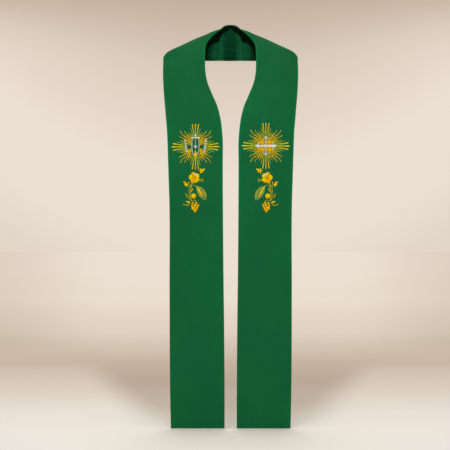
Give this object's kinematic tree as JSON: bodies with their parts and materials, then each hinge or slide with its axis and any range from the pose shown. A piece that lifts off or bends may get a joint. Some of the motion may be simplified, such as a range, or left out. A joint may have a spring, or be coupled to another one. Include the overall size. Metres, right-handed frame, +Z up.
{
  "type": "clerical stole",
  "caption": "Lined clerical stole in its worn form, hollow: two mitred bands round an open neck that lie over the shoulders and hang down the front to square hems.",
  "frame": {"origin": "middle of the neck opening, level with the sides of the neck, where a wearer's neck and shoulders hold the stole up", "axes": "+Z up, the front faces -Y, +X is the wearer's left"},
  "size_m": [0.4138, 0.2188, 1.2315],
  "materials": {
    "green_cloth": "matt plain weave",
    "green_satin_lining": "satin"
  },
  "bodies": {
    "root": {"band_left": "green_cloth", "band_right": "green_cloth", "lining_left": "green_satin_lining", "lining_right": "green_satin_lining"}
  },
  "joints": []
}
